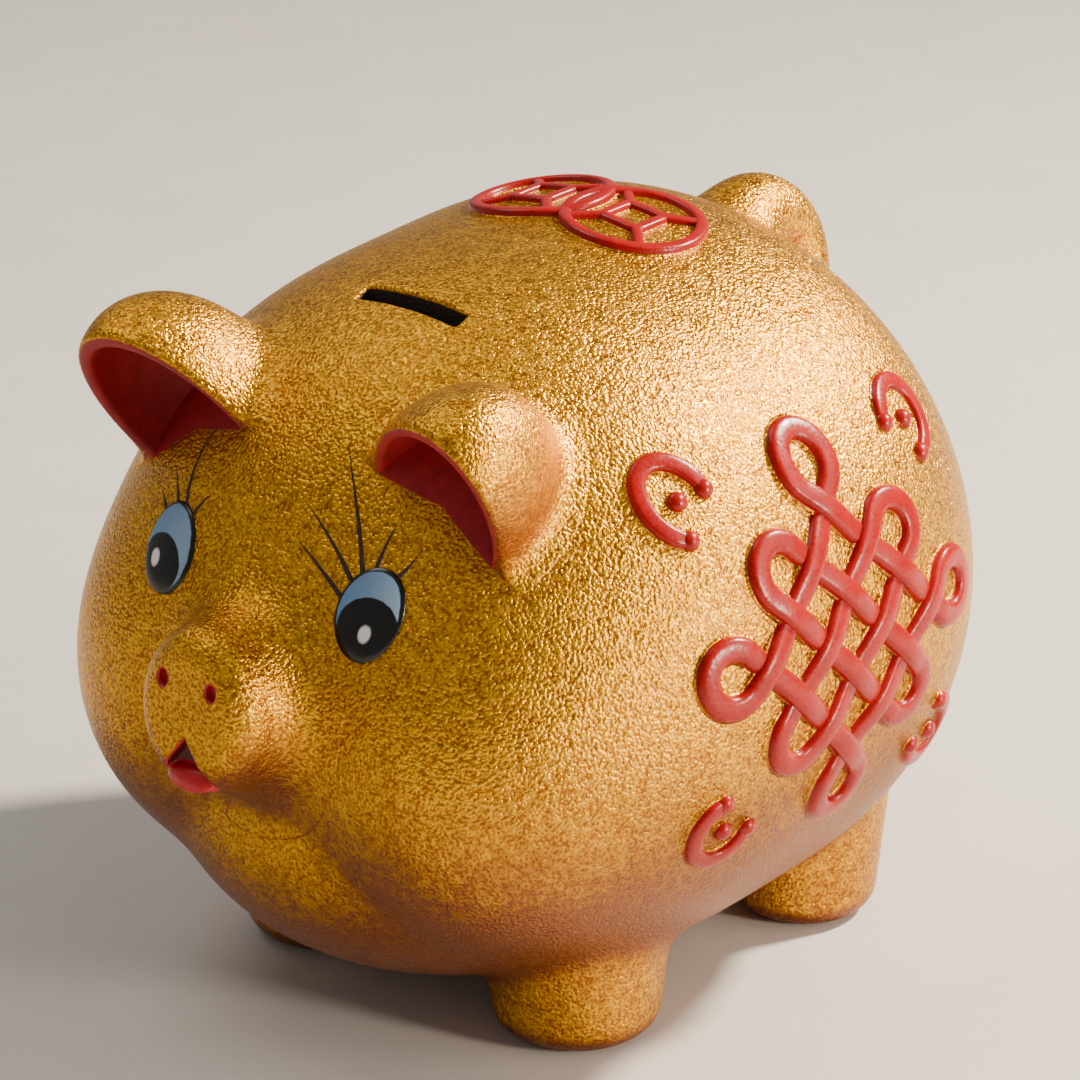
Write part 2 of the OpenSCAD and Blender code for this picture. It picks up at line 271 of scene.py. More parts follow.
def ontoSkin(p, way, rounds=14, lift=0.0):
    # Points moved back along one way until they lie on the body, and lifted off it. Gives them with
    # the way out of the skin at each.
    for _ in range(rounds):
        p = p - np.asarray(way) * bodyField(p)[:, None]
    out = unit(slope(bodyField, p))
    return p + out * np.reshape(lift, (-1, 1)), out


def lutedField(form, soft, cut=None):
    # A piece that runs softly into the body, and ends just under its skin. cut works on the joined
    # shape before it is ended.
    def field(p):
        body, shape = bodyField(p), form(p)
        joined = joinSoft(body + pig["sunk"], shape, soft)
        if cut:
            joined = cut(joined, p)
        return np.maximum(np.maximum(joined, -(body + pig["bed"])), shape - pig["reach"] * soft)
    return field


def modelPiece(form, shape, middle, cut=None):
    # The mesh of a luted piece, looked for in the box that its settings give around its middle.
    low, high = middle - shape["below"], middle + shape["above"]
    return fieldMesh(lutedField(form, shape["soft"], cut), low, high, shape["step"])


# materials

def startMaterial(name):
    material = bpy.data.materials.new(name)
    material.use_nodes = True
    tree = material.node_tree
    return material, tree, tree.nodes["Principled BSDF"], addNode(tree, "ShaderNodeTexCoord", give="Object")


def speckle(tree, place3d, sizeMm, detail=2.0, spread=(0, 1), reach=(0, 1), rough=0.5):
    # Patches about sizeMm across. Their values within spread are stretched to reach.
    patches = addNode(tree, "ShaderNodeTexNoise", {
        "Vector": place3d, "Scale": 1 / (sizeMm * mm), "Detail": detail, "Roughness": rough,
    })
    return addNode(tree, "ShaderNodeMapRange", {
        "Value": patches, "From Min": spread[0], "From Max": spread[1],
        "To Min": reach[0], "To Max": reach[1],
    })


def twoTone(tree, place3d, pair, sizeMm, detail=3.0, spread=(0.3, 0.7)):
    # Two close colours in soft patches.
    return addNode(tree, "ShaderNodeMix", {
        0: speckle(tree, place3d, sizeMm, detail, spread), 6: fromHex(pair[0]), 7: fromHex(pair[1]),
    }, 2, data_type="RGBA")


def handEdge(tree, place3d, attribute, start, end, sizeMm, waver, detail=2.0):
    # From 0 to 1 as the attribute goes from start to end, with the waver of a hand-held brush.
    shaken = addNode(tree, "ShaderNodeMath", {
        0: addNode(tree, "ShaderNodeAttribute", give="Fac", attribute_name=attribute),
        1: speckle(tree, place3d, sizeMm, detail, reach=(-waver / 2, waver / 2)),
    }, operation="ADD")
    return addNode(tree, "ShaderNodeMapRange", {"Value": shaken, "From Min": start, "From Max": end})


def layOver(tree, part, coat, over):
    # Changes a coat's values to those of over where part is 1.
    for key, value in over.items():
        first, give, kind = (6, 2, "RGBA") if key == "colour" else (2, 0, "FLOAT")
        coat[key] = addNode(tree, "ShaderNodeMix", {
            0: part, first: coat[key], first + 1: value,
        }, give, data_type=kind)


def finishCoat(tree, shader, coat, bumpMm):
    for key, socket in (("colour", "Base Color"), ("rough", "Roughness"), ("metal", "Metallic")):
        if key in coat:
            tree.links.new(coat[key], shader.inputs[socket])
    bump = addNode(tree, "ShaderNodeBump", {"Height": coat["height"], "Distance": bumpMm * mm})
    tree.links.new(bump, shader.inputs["Normal"])


gold = {
    "bright": "#EEAE12",
    "deep": "#A8640A",
    "undersideShade": "#742A14",
    "grain": 0.82,      # mm across a grain of the sanded ground
    "lump": 2.6,        # mm across a patch of heavier spray
    "cloud": 26.0,      # mm across a drift in where the painted underside shade reaches
    "bumpHeight": 0.42,  # mm
    "fullShade": -0.58,      # how far down the surface faces where the painted underside shade is full
    "noShade": 0.16,    # how far up it faces where that painted shade is gone
}


def goldCoat(tree, place3d):
    # Bronze-powder lacquer over a sanded ground. Its grain breaks the light into sparks and pits. Faces
    # that
    # turn down get painted shade: a darker red-brown with less metal, standing in for shade and warm
    # reflection from below.
    def lump(spread=(0, 1), reach=(0, 1)):
        return speckle(tree, place3d, gold["lump"], 2.0, spread, reach, 0.55)

    height = addNode(tree, "ShaderNodeMath", {
        0: speckle(tree, place3d, gold["grain"], 1.0, (0.3, 0.7), (0, 0.55), 0.4), 1: lump(reach=(0, 0.4)),
    }, operation="ADD")
    colour = addNode(tree, "ShaderNodeMix", {
        0: addNode(tree, "ShaderNodeMapRange", {"Value": height, "From Min": 0.22, "From Max": 0.66}),
        6: fromHex(gold["deep"]), 7: fromHex(gold["bright"]),
    }, 2, data_type="RGBA")
    # Painted underside shade: how far a face turns up, shaken by slow and small drifts, sets where it lies.
    facingUp = addNode(tree, "ShaderNodeSeparateXYZ", {
        0: addNode(tree, "ShaderNodeNewGeometry", give="Normal"),
    }, "Z")
    for drift in (speckle(tree, place3d, gold["cloud"], reach=(-0.25, 0.25)), lump(reach=(-0.25, 0.25))):
        facingUp = addNode(tree, "ShaderNodeMath", {0: facingUp, 1: drift}, operation="ADD")
    undersideShade, metal = (addNode(tree, "ShaderNodeMapRange", {
        "Value": facingUp, "From Min": gold["fullShade"], "From Max": gold["noShade"],
        "To Min": fullShade, "To Max": noShade,
    }, interpolation_type="SMOOTHSTEP") for fullShade, noShade in ((0.85, 0), (0.7, 0.95)))
    coat = {"colour": colour, "rough": lump((0.3, 0.7), (0.28, 0.4)), "metal": metal, "height": height}
    # Painted shade: the darker red-brown laid on faces that turn down.
    layOver(tree, undersideShade, coat, {"colour": fromHex(gold["undersideShade"])})
    return coat


def brushPaint(tree, place3d, coat, paint):
    # Lays brushed paint over a coat. The paint's attribute falls below zero where it lies, in
    # millimetres, so its edge stays crisp between the mesh's points.
    attribute, pair, rough = paint
    part = handEdge(tree, place3d, attribute, 0.12, -0.12, 1.6, 0.5)
    colour = twoTone(tree, place3d, pair, 3.5, spread=(0.35, 0.65))
    layOver(tree, part, coat, {"colour": colour, "rough": rough, "metal": 0.0})
    fill = addNode(tree, "ShaderNodeMath", {0: part, 1: 0.85}, operation="MULTIPLY")
    layOver(tree, fill, coat, {"height": 0.5})


def paintedGold(name, paints, innerDark=None):
    material, tree, shader, place3d = startMaterial(name)
    coat = goldCoat(tree, place3d)
    if innerDark:
        # Near-black where the surface lies more than about a millimetre under the skin.
        part = handEdge(tree, place3d, "depth", 0.75, 1.05, 1.8, 0.5)
        colour = twoTone(tree, place3d, innerDark, 4.0, spread=(0, 1))
        layOver(tree, part, coat, {"colour": colour, "rough": 0.85, "metal": 0.0})
    for paint in paints:
        brushPaint(tree, place3d, coat, paint)
    finishCoat(tree, shader, coat, gold["bumpHeight"])
    return material


# Each paint: the attribute that marks it, its two tones and its roughness.
earPaint = ("earRed", ("#94141E", "#A81C28"), 0.55)
snoutPaints = [
    ("nostrilRed", ("#A0101C", "#B81824"), 0.4),
    ("mouthRed", ("#B80C18", "#CC1C26"), 0.32),
    # Painted shade: darker red deep in the mouth hollow.
    ("mouthShade", ("#4A0C14", "#5E101A"), 0.5),
]
# Gold lacquer on cast ceramic: warm, grainy sparkle with a broad soft shine.
goldLacquer = paintedGold("sprayedGoldLacquer", [])
# The body's own, which turns near-black a little way into its openings and all over its inside.
shellLacquer = paintedGold("goldLacquerDarkInside", [earPaint], ("#120D0B", "#221813"))
# The same, with matt dark red brushed inside the ears.
earLacquer = paintedGold("goldLacquerWithEarRed", [earPaint])
# The same, with red brushed into the mouth and the nostrils, and painted shade deep in the mouth.
snoutLacquer = paintedGold("goldLacquerWithMouthRed", snoutPaints)
print("gold materials made")


# body

bodyShape = {
    "rings": 104,          # faces along each side of the six patches of the skin
    "cavityStep": 3.0,
    "slotMiddle": (0, -46.5, 176),
    "slotLength": 32,
    "slotWidth": 5,
    "slotLip": 1.1,
    "slotFloor": 60,       # the slot's cutter starts this far above the core, in the hollow
    "slotCorner": 0.9,
    "holeGap": 0.6,
    "collar": 5,
    "lip": 0.8,
}


def ballPatches(count):
    # Six square patches of a cube pushed out to a ball, with shared edges merged.
    steps = np.tan(np.linspace(-math.pi / 4, math.pi / 4, count + 1))
    a, b = np.meshgrid(steps, steps, indexing="ij")
    one = np.ones_like(a)
    sides = [(one, a, b), (-one, b, a), (b, one, a), (a, -one, b), (a, b, one), (b, a, -one)]
    ways = unit(np.concatenate([np.stack(s, -1).reshape(-1, 3) for s in sides]))
    row = count + 1
    i, j = np.meshgrid(np.arange(count), np.arange(count), indexing="ij")
    corner = (i * row + j).ravel()
    quad = np.stack([corner, corner + row, corner + row + 1, corner + 1], 1)
    quads = np.concatenate([quad + k * row * row for k in range(6)])
    _, first, which = np.unique(np.round(ways, 6), axis=0, return_index=True, return_inverse=True)
    return ways[first], which.ravel()[quads]


def ontoBack(x, y, lift=0.0):
    # Points over the table put on the pig's back.
    return ontoSkin(stack(x, y, core[2] + pig["clear"]), (0.0, 0.0, 1.0), lift=lift)


def roundedBox(halfX, halfY, corner, arc=5):
    points = []
    for k in range(4):
        cx = (halfX - corner) * (1 if k in (0, 3) else -1)
        cy = (halfY - corner) * (1 if k in (0, 1) else -1)
        for i in range(arc + 1):
            a = math.pi / 2 * (k + i / arc)
            points.append((cx + corner * math.cos(a), cy + corner * math.sin(a)))
    return np.array(points)


def loftRings(rings):
    # Closed mesh through rings of points of one length, capped at both ends.
    count = len(rings[0])
    a = np.arange(count)
    faces = [a[::-1]]
    for _ in rings[1:]:
        b = np.roll(a, -1)
        faces += list(np.stack([a, b, b + count, a + count], 1))
        a = a + count
    return np.concatenate(rings), faces + [a]


def slotCutter():
    # The slot, with a lip that rolls in from the skin. The outline gets extra points along its length.
    middle = place(bodyShape["slotMiddle"])
    lip = bodyShape["slotLip"]

    def outline(wider):
        ring = roundedBox(
            bodyShape["slotLength"] / 2 + wider, bodyShape["slotWidth"] / 2 + wider,
            bodyShape["slotCorner"] + wider,
        )
        dense = []
        for a, b in zip(ring, np.roll(ring, -1, 0)):
            parts = 20 if np.linalg.norm(b - a) > bodyShape["slotWidth"] * 2 else 1
            dense += [a + (b - a) * k / parts for k in range(parts)]
        return np.array(dense) + middle[:2]

    rings = [stack(*outline(0).T, bodyShape["slotFloor"] + core[2])]
    for angle in np.radians((0, 20, 40, 60, 80)):
        x, y = outline(lip * (1 - math.cos(angle))).T
        rings.append(ontoBack(x, y)[0] - (0, 0, lip * (1 - math.sin(angle))))
    rings.append(stack(x, y, bodyHigh[2] + 8))
    return loftRings(rings)


stopLow, stopHigh = boxMm("stopper")
holeMiddle = middleOf("stopper")
flangeR = (stopHigh[0] - stopLow[0]) / 2
stopperShape = {
    "seatWidth": 4,
    "flange": 2.2,
    "gripHeight": 1.6,
    "gripLength": 20,
    "gripWidth": 3,
    "gripCorner": 1.4,
    "plugGap": 0.05,
    "nose": 4,
    "wall": 3,
    "round": 0.7,
}
seatZ = stopLow[2] + stopperShape["gripHeight"] + stopperShape["flange"]
boreR = flangeR - stopperShape["seatWidth"]
collarTop = stopHigh[2] - stopperShape["nose"]


def circleAt(radius, z, count=96):
    a = np.linspace(0, 2 * math.pi, count, endpoint=False)
    return stack(holeMiddle[0] + radius * np.cos(a), holeMiddle[1] + radius * np.sin(a), z)


def holeCutter():
    # The recess for the stopper's flange and the bore above it.
    wide = flangeR + bodyShape["holeGap"]
    lip = bodyShape["lip"]
    return loftRings([
        circleAt(wide, -2), circleAt(wide, seatZ), circleAt(boreR + lip, seatZ),
        circleAt(boreR, seatZ + lip), circleAt(boreR, collarTop + 4),
    ])


def cavityField(p):
    inner = bodyField(p) + pig["wall"]
    across = np.hypot(p[..., 0] - holeMiddle[0], p[..., 1] - holeMiddle[1])
    collar = np.maximum(across - boreR - bodyShape["collar"], p[..., 2] - collarTop)
    return cutSoft(inner, collar, 1.5)


def combine(piece, others, operation):
    for other in others:
        change = piece.modifiers.new("combine", "BOOLEAN")
        change.operation = operation
        change.solver = "EXACT"
        change.object = other
    made = bakeModifiers(piece)
    piece.modifiers.clear()
    piece.data = made
    for other in others:
        bpy.data.objects.remove(other)


def sharpenEdges(piece, degrees):
    # Keeps the shading crisp across real corners, once the slivers that a cut leaves are gone.
    work = bmesh.new()
    work.from_mesh(piece.data)
    bmesh.ops.dissolve_degenerate(work, dist=0.004 * mm, edges=work.edges)
    limit = math.radians(degrees)
    for edge in work.edges:
        if len(edge.link_faces) == 2 and edge.calc_face_angle(0) > limit:
            edge.smooth = False
    for face in work.faces:
        face.smooth = True
    work.to_mesh(piece.data)
    work.free()


def makeBody():
    ways, quads = ballPatches(bodyShape["rings"])
    skin, _ = ontoSkin(core + ways * pig["clear"], ways)
    inner, innerQuads = fieldMesh(cavityField, bodyLow - 3, bodyHigh + 3, bodyShape["cavityStep"])
    faces = np.concatenate([quads, innerQuads[:, ::-1] + len(skin)])
    piece = meshPiece("bodyShell", np.concatenate([skin, inner]), faces, shellLacquer)
    slot = meshPiece("slotCutter", *slotCutter(), None)
    hole = meshPiece("holeCutter", *holeCutter(), None)
    combine(piece, [slot, hole], "DIFFERENCE")
    sharpenEdges(piece, 38)
    flat = np.empty(len(piece.data.vertices) * 3, dtype=np.float32)
    piece.data.vertices.foreach_get("co", flat)
    points = flat.reshape(-1, 3).astype(float) / mm
    keepNumbers(piece.data, {"depth": -bodyField(points), "earRed": earPainted(points)})
    declare(piece, "bank", "body_shell")


# snout

snoutShape = {
    "middle": (0, -110, 100),
    "halfWidth": 19,
    "halfHeight": 21.5,
    "length": 16,
    "round": 7,
    "flare": 0.14,
    "tilt": 6,
    "soft": 20,
    "nostrilAt": (7.7, 7.0),
    "nostrilSize": (1.55, 2.3, 2.0),
    "mouthTop": -7.8,
    "mouthBlunt": 1.2,
    "mouthCorner": (8.6, -17.0),
    "mouthBottom": -19.6,
    "mouthDeep": 4.2,
    "lipAt": (0, -10.9, -17.4),
    "lipSize": (8.6, 4.1, 4.4),
    "step": 0.62,
    "below": (44, 24, 46),
    "above": (44, 34, 46),
}
snoutMiddle = place(snoutShape["middle"])


def snoutLocal(p):
    t = math.radians(snoutShape["tilt"])
    x, y, z = np.moveaxis(p - snoutMiddle, -1, 0)
    return stack(x, math.cos(t) * y - math.sin(t) * z, math.sin(t) * y + math.cos(t) * z)


def snoutForm(p):
    # A short, rounded cone that widens towards the face.
    q = snoutLocal(p)
    tall, wide, rim = snoutShape["halfHeight"], snoutShape["halfWidth"], snoutShape["round"]
    across = np.hypot(q[..., 0] * tall / wide, q[..., 2])
    out = across - (tall - rim) - snoutShape["flare"] * q[..., 1]
    return roundEdge(out, np.abs(q[..., 1]) - (snoutShape["length"] - rim), rim)


def mouthOutline(p):
    # A rounded triangle with its point up and its lower side curved, seen from the front.
    q = snoutLocal(p)
    x, z = np.abs(q[..., 0]), q[..., 2]
    top, bottom, blunt = snoutShape["mouthTop"], snoutShape["mouthBottom"], snoutShape["mouthBlunt"]
    cornerX, cornerZ = snoutShape["mouthCorner"]
    run = unit(np.array([cornerX - blunt, cornerZ - top]))
    side = (x - blunt) * -run[1] + (z - top) * run[0]
    radius = (cornerX ** 2 + (cornerZ - bottom) ** 2) / (2 * (cornerZ - bottom))
    under = np.hypot(x, z - (bottom + radius)) - radius
    return -joinSoft(joinSoft(-side, -under, 1.6), cornerX - 0.9 - x, 1.6)


def mouthHollow(p):
    depth = snoutLocal(p)[..., 1] + snoutShape["length"] - snoutShape["mouthDeep"]
    return cutSoft(mouthOutline(p), -depth, 1.2)


def tongueForm(p):
    pad = eggField(snoutLocal(p), snoutShape["lipAt"], snoutShape["lipSize"])
    return np.maximum(pad, mouthOutline(p) + 0.25)


def nostrilField(p):
    q = snoutLocal(p)
    x, z = snoutShape["nostrilAt"]
    q[..., 0] = np.abs(q[..., 0]) - x
    return eggField(q, (0, -snoutShape["length"] + 0.3, z), snoutShape["nostrilSize"])


def openMouth(joined, p):
    # Cuts the mouth, lays the tongue in it and presses in the nostrils.
    mouth = joinSoft(cutSoft(joined, mouthHollow(p), 1.4), tongueForm(p), 0.8)
    return cutSoft(mouth, nostrilField(p), 0.8)


def makeSnout():
    points, faces = modelPiece(snoutForm, snoutShape, snoutMiddle, openMouth)
    behind = snoutLocal(points)[:, 1] + 6
    skin = joinSoft(bodyField(points), snoutForm(points), snoutShape["soft"])
    mouth = np.maximum(mouthOutline(points) - 0.3, behind)
    # Painted shade: darker red where the mouth lies more than 0.9 mm under the skin, away from the tongue.
    deepShade = np.maximum(np.maximum(0.9 + skin, 0.5 - tongueForm(points)), mouth)
    values = {"mouthRed": mouth, "mouthShade": deepShade, "nostrilRed": nostrilField(points) - 0.55}
    declare(meshPiece("snoutCone", points, faces, snoutLacquer, values), "bank", "snout")


makeSnout()
print("snout made")


# ears

earShape = {
    "middle": (42.2, -84.3, 150.6),
    "across": (0.842, 0.123, -0.525),
    "outOfMouth": (-0.16, -0.873, -0.46),
    "half": (20.5, 31.5, 26),
    "back": 6,
    "rim": 3,
    "bareRim": 0.8,     # gold left along the rim's outer edge
    "soft": 12,
    "step": 0.8,
    "below": (44, 40, 42),
    "above": (44, 56, 44),
}


def earAxes():
    u = unit(np.array(earShape["across"]))
    n = np.array(earShape["outOfMouth"])
    n = unit(n - u * (n @ u))
    v = np.cross(n, u)
    return np.stack([u, v * np.sign(v[2]), n], 1)


earTurn = earAxes()
earMiddle = place(earShape["middle"])


def earDome(p):
    return eggField((p - earMiddle) @ earTurn, (-1, 0, -earShape["back"]), earShape["half"])


def earCup(joined, p):
    # Hollows the ear from its front.
    local = (p - earMiddle) @ earTurn
    inner = eggField(local, (-1, -2, 0), np.array(earShape["half"]) - earShape["rim"])
    return cutSoft(joined, joinSoft(-local[..., 2], inner, 2.0), 2.0)


def earPainted(p):
    # Below zero where the inside of an ear is painted: its wall, out to just short of the rim's outer
    # edge, and the head's skin deep inside it.
    q = p.copy()
    q[..., 0] = np.abs(q[..., 0])
    ahead = ((q - earMiddle) @ earTurn)[..., 2]
    dome = earDome(q)
    wall = np.clip(bodyField(q), 0, 1)
    limit = wall * 0.8 + (1 - wall) * 0.14 * (dome + earShape["rim"])
    return np.maximum(dome + earShape["bareRim"], ahead - limit)


def makeEars():
    points, faces = modelPiece(earDome, earShape, earMiddle, earCup)
    values = {"earRed": earPainted(points)}
    left = meshPiece("earLeft", points, faces, earLacquer, values)
    right = meshPiece("earRight", points * (-1, 1, 1), faces[:, ::-1], earLacquer, values)
    declare(left, "bank", "ear_left")
    declare(right, "bank", "ear_right")


makeEars()
print("ears made")

# The body comes after the ears because their red paint runs on over its skin.
makeBody()
print("body made")


# feet

footShape = {
    "round": 7,
    "flare": 0.10,
    "flareFrom": 10,
    "height": 40,
    "soft": 8,
    "step": 1.0,
    "margin": 22,       # room left around a foot for its join
    "top": 64,
    # Where each foot of the left side stands, and its radius.
    "front": ((42, -35, 0), 21.5),
    "rear": ((43, 55, 0), 19.5),
}


def makeFoot(end, word, side):
    at, radius = footShape[end]
    x, y = place(at)[:2] * (side, 1)
    rim, half = footShape["round"], footShape["height"] / 2

    def form(p):
        wide = radius + footShape["flare"] * (p[..., 2] - footShape["flareFrom"])
        out = np.hypot(p[..., 0] - x, p[..., 1] - y) - (wide - rim)
        return roundEdge(out, np.abs(p[..., 2] - half) - (half - rim), rim)

    around = radius + footShape["margin"]
    low, high = (x - around, y - around, -2), (x + around, y + around, footShape["top"])
    points, faces = fieldMesh(lutedField(form, footShape["soft"]), low, high, footShape["step"])
    points[:, 2] = np.maximum(points[:, 2], 0)
    piece = meshPiece(f"foot{end.title()}{word.title()}", points, faces, goldLacquer)
    declare(piece, "bank", f"foot_{end}_{word}")


for side, word in ((1, "left"), (-1, "right")):
    for end in ("front", "rear"):
        makeFoot(end, word, side)
print("feet made")


# tail

tailShape = {
    "middle": (0, 84, 160),
    "curl": 12,
    "turn": 9,
    "from": 125,
    "to": -30,
    "root": 12,
    "tip": 6.5,
    "soft": 12,
    "beads": 22,
    "step": 0.9,
    "below": (40, 44, 40),
    "above": (44, 40, 40),
}
tailMiddle = place(tailShape["middle"])


def tailForm(p):
    # A row of balls that curls over, turns aside and shrinks, run together.
    curl, turn = tailShape["curl"], tailShape["turn"]
    shape = None
    for t in np.linspace(0, 1, tailShape["beads"]):
        a = math.radians(tailShape["from"] + (tailShape["to"] - tailShape["from"]) * t)
        at = tailMiddle + (turn * t * t, curl * math.cos(a), curl * math.sin(a))
        radius = tailShape["root"] + (tailShape["tip"] - tailShape["root"]) * t
        ball = np.linalg.norm(p - at, axis=-1) - radius
        shape = ball if shape is None else joinSoft(shape, ball, 1.0)
    return shape


tail = meshPiece("tailCurl", *modelPiece(tailForm, tailShape, tailMiddle), goldLacquer)
declare(tail, "bank", "tail")
print("tail made")


# raised ornaments, swept along paths on the skin

def enamelMaterial():
    # Red stoving enamel brushed thick over the raised clay: glossy and slightly uneven, with the gold
    # ground left bare along the foot of each band.
    material, tree, shader, place3d = startMaterial("brushedRedEnamel")
    coat = goldCoat(tree, place3d)
    layOver(tree, handEdge(tree, place3d, "climb", 0.06, 0.17, 2.2, 0.22), coat, {
        "colour": twoTone(tree, place3d, ("#8C0101", "#9E0202"), 5.0),
        "rough": speckle(tree, place3d, 1.1, spread=(0.3, 0.7), reach=(0.22, 0.34)),
        "metal": 0.0,
        "height": speckle(tree, place3d, 1.1, reach=(0, 0.16)),
    })
    finishCoat(tree, shader, coat, gold["bumpHeight"])
    shader.inputs["Specular IOR Level"].default_value = 0.36
    return material


redEnamel = enamelMaterial()

band = {
    "bandWidth": 6.2,
    "bandHeight": 2.3,
    "lift": 0.75,
    "pitch": 14,
    "bands": 4,
    "scrollRadius": 8,
    "scrollGirth": 0.74,
    "scrollMouth": 55,
    "bead": 2.6,
    "runPoints": 57,      # along one straight band
    "spacing": 1.1,       # mm between points of a path
}


def bandProfile():
    # Unit cross-section: x is the way out of the skin, y runs across from -1 to 1. It rolls over at
    # the top, flares at the foot and closes below the skin. climb is its height, for the paint.
    turn = np.linspace(0, math.pi, 15)
    top = [(abs(math.sin(a)) ** 0.72, math.copysign(abs(math.cos(a)) ** 0.62, math.cos(a))) for a in turn]
    foot = [(0.06, 1.05), (-0.02, 1.22), (-0.6, 1.22)]
    rest = [(-0.6, -1.22), (-0.02, -1.22), (0.06, -1.05)]
    ring = (foot[::-1] + top[1:-1] + rest[::-1])[::-1]
    mesh = bpy.data.meshes.new("bandProfile")
    count = len(ring)
    mesh.from_pydata([(x, y, 0) for x, y in ring], [(i, (i + 1) % count) for i in range(count)], [])
    keepNumbers(mesh, {"climb": [max(x, 0.0) for x, _ in ring]})
    return link("bandProfile", mesh)


profileObject = bandProfile()


def bandTree():
    # Sweeps the profile along every path, standing out of the skin, and sets a bead at every flagged point.
    tree = bpy.data.node_groups.new("raisedBands", "GeometryNodeTree")
    for name, way, kind in (
        ("Geometry", "INPUT", "Geometry"), ("Profile", "INPUT", "Object"),
        ("Band Width", "INPUT", "Float"), ("Band Height", "INPUT", "Float"),
        ("Material", "INPUT", "Material"), ("Geometry", "OUTPUT", "Geometry"),
    ):
        tree.interface.new_socket(name, in_out=way, socket_type="NodeSocket" + kind)
    given = tree.nodes.new("NodeGroupInput").outputs
    out, girth, bead = (
        addNode(tree, "GeometryNodeInputNamedAttribute", {"Name": name}, data_type=kind)
        for name, kind in (("out", "FLOAT_VECTOR"), ("girth", "FLOAT"), ("bead", "FLOAT"))
    )
    half = addNode(tree, "ShaderNodeMath", {0: given["Band Width"], 1: 0.5}, operation="MULTIPLY")
    sized = addNode(tree, "GeometryNodeTransform", {
        "Geometry": addNode(tree, "GeometryNodeObjectInfo", {"Object": given["Profile"]}, "Geometry"),
        "Scale": addNode(tree, "ShaderNodeCombineXYZ", {"X": given["Band Height"], "Y": half, "Z": 1.0}),
    })
    swept = addNode(tree, "GeometryNodeCurveToMesh", {
        "Curve": addNode(tree, "GeometryNodeSetCurveNormal", {
            "Curve": addNode(tree, "GeometryNodeMeshToCurve", {"Mesh": given["Geometry"]}), "Normal": out,
        }, mode="FREE"),
        "Profile Curve": addNode(tree, "GeometryNodeMeshToCurve", {"Mesh": sized}),
        "Scale": girth, "Fill Caps": True,
    })
    height = addNode(tree, "ShaderNodeSeparateXYZ", {0: addNode(tree, "GeometryNodeInputPosition")}, "Z")
    ball = addNode(tree, "GeometryNodeStoreNamedAttribute", {
        "Geometry": addNode(tree, "GeometryNodeMeshUVSphere", {"Segments": 24, "Rings": 14, "Radius": 1.0}),
        "Name": "climb",
        "Value": addNode(tree, "ShaderNodeMath", {0: height, 1: 0.0}, operation="MAXIMUM"),
    }, data_type="FLOAT", domain="POINT")
    beads = addNode(tree, "GeometryNodeInstanceOnPoints", {
        "Points": addNode(tree, "GeometryNodeMeshToPoints", {
            "Mesh": given["Geometry"],
            "Selection": addNode(tree, "ShaderNodeMath", {0: bead, 1: 0.0}, operation="GREATER_THAN"),
        }),
        "Instance": ball,
        "Rotation": addNode(tree, "FunctionNodeAlignRotationToVector", {"Vector": out}, axis="Z"),
        "Scale": addNode(tree, "ShaderNodeCombineXYZ", {"X": bead, "Y": bead, "Z": given["Band Height"]}),
    })
    joined = tree.nodes.new("GeometryNodeJoinGeometry")
    for part in (swept, beads):
        tree.links.new(part, joined.inputs[0])
    smooth = addNode(tree, "GeometryNodeSetShadeSmooth", {"Geometry": joined.outputs[0]})
    painted = addNode(tree, "GeometryNodeSetMaterial", {
        "Geometry": addNode(tree, "GeometryNodeRealizeInstances", {"Geometry": smooth}),
        "Material": given["Material"],
    })
    addNode(tree, "NodeGroupOutput", {0: painted})
    return tree


raisedBands = bandTree()


def socketId(tree, name):
    return next(
        s.identifier for s in tree.interface.items_tree
        if s.item_type == "SOCKET" and s.in_out == "INPUT" and s.name == name
    )


def sweepBands(name, paths, spots, width, height, material):
    # paths: (points, ways out, girths, closed) in millimetres. spots: (point, way out, radius) of beads.
    points, outs, girths, beads, edges = [], [], [], [], []
    for line, out, girth, closed in paths:
        first, count = len(points), len(line)
        points += list(line)
        outs += list(out)
        girths += list(girth)
        beads += [0.0] * count
        edges += [(first + i, first + (i + 1) % count) for i in range(count if closed else count - 1)]
    for at, out, radius in spots:
        points.append(at)
        outs.append(out)
        girths.append(1.0)
        beads.append(radius * mm)
    mesh = bpy.data.meshes.new(name)
    mesh.from_pydata((np.array(points) * mm).tolist(), edges, [])
    mesh.attributes.new("out", "FLOAT_VECTOR", "POINT").data.foreach_set("vector", np.ravel(outs))
    keepNumbers(mesh, {"girth": girths, "bead": beads})
    path = link(name + "Path", mesh)
    change = path.modifiers.new("sweep", "NODES")
    change.node_group = raisedBands
    for socket, value in (
        ("Profile", profileObject), ("Band Width", width * mm), ("Band Height", height * mm),
        ("Material", material),
    ):
        change[socketId(raisedBands, socket)] = value
    made = bakeModifiers(path)
    bpy.data.objects.remove(path)
    return link(name, made)


def spread(line, spacing, closed):
    # Points at even steps along a line.
    line = np.asarray(line, float)
    if closed:
        line = np.concatenate([line, line[:1]])
    far = np.concatenate([[0], np.cumsum(np.linalg.norm(np.diff(line, axis=0), axis=1))])
    count = max(4, int(round(far[-1] / spacing)))
    at = np.linspace(0, far[-1], count + 1)
    if closed:
        at = at[:-1]
    return np.stack([np.interp(at, far, line[:, i]) for i in range(line.shape[1])], 1)


def arcPoints(middle, radius, start, end, count=24):
    a = np.radians(np.linspace(start, end, count))
    return stack(middle[0] + radius * np.cos(a), middle[1] + radius * np.sin(a), 0)


